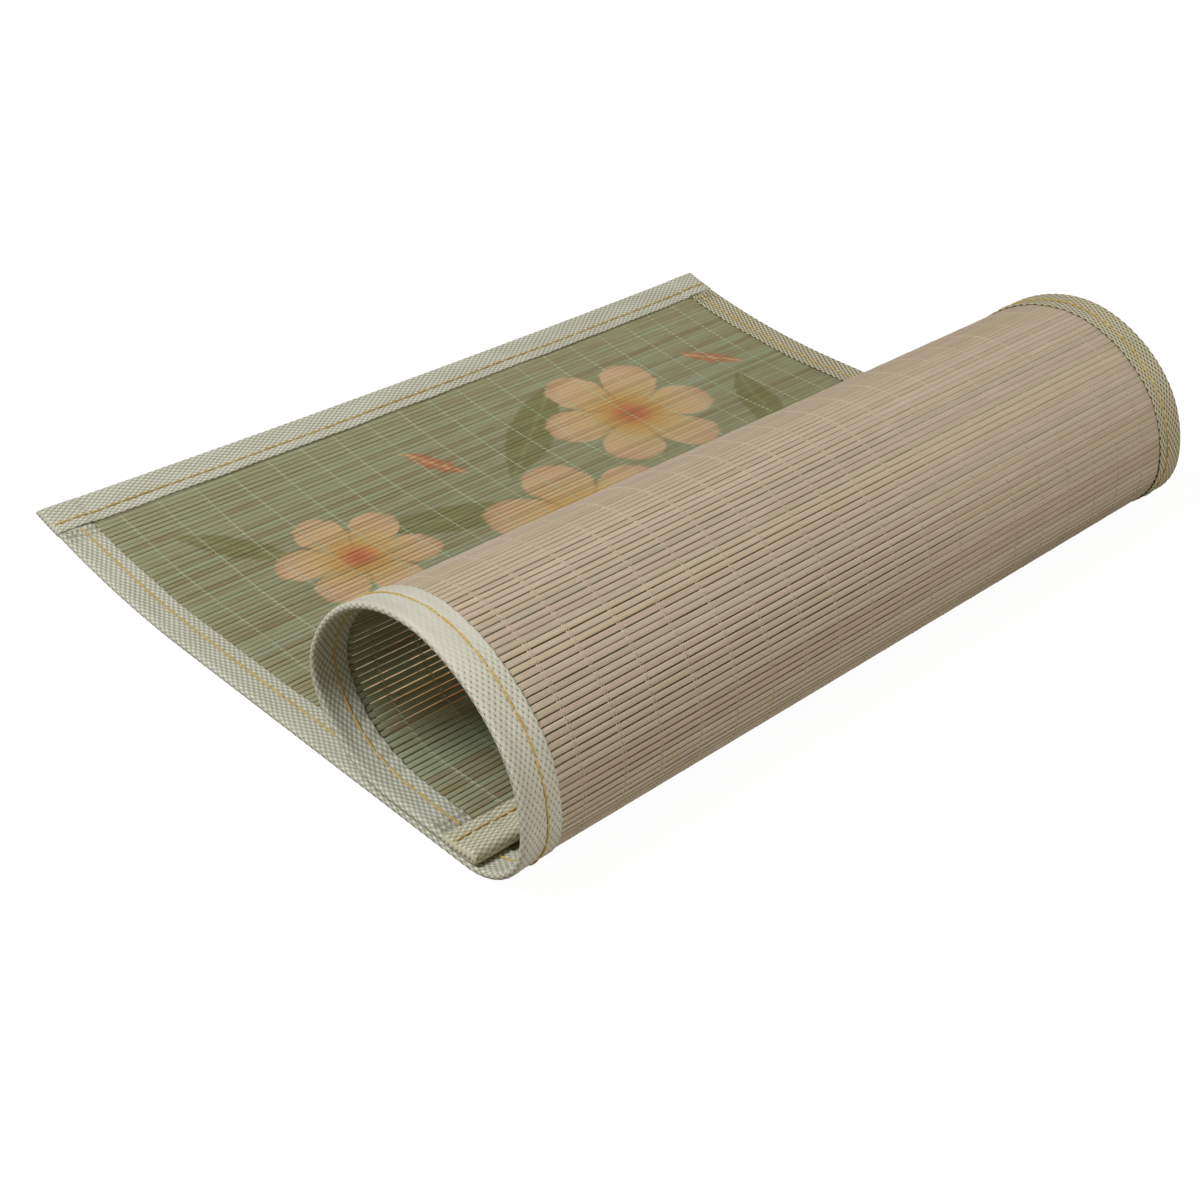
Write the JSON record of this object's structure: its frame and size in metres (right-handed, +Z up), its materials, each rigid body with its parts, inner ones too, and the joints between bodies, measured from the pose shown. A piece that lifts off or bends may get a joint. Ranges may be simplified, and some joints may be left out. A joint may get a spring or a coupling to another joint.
{
  "type": "bamboo placemat",
  "caption": "Placemat of thin bamboo slats with woven tape folded over its edges, flat at one end and rolled over its printed face at the other.",
  "frame": {"origin": "under the middle of the bounding box, on the surface that the mat lies on", "axes": "+X along the slats, +Y towards the flat free end, +Z up"},
  "size_m": [0.3, 0.2314, 0.0648],
  "materials": {
    "slats": "split bamboo slats, printed in green on the face and bare on the back",
    "tape": "coarse woven tape, pale grey-green, sewn with ochre thread"
  },
  "bodies": {
    "root": {"slat_panel": "slats", "binding_near_side": "tape", "binding_far_side": "tape", "binding_free_end": "tape", "binding_inner_end": "tape"}
  },
  "joints": []
}
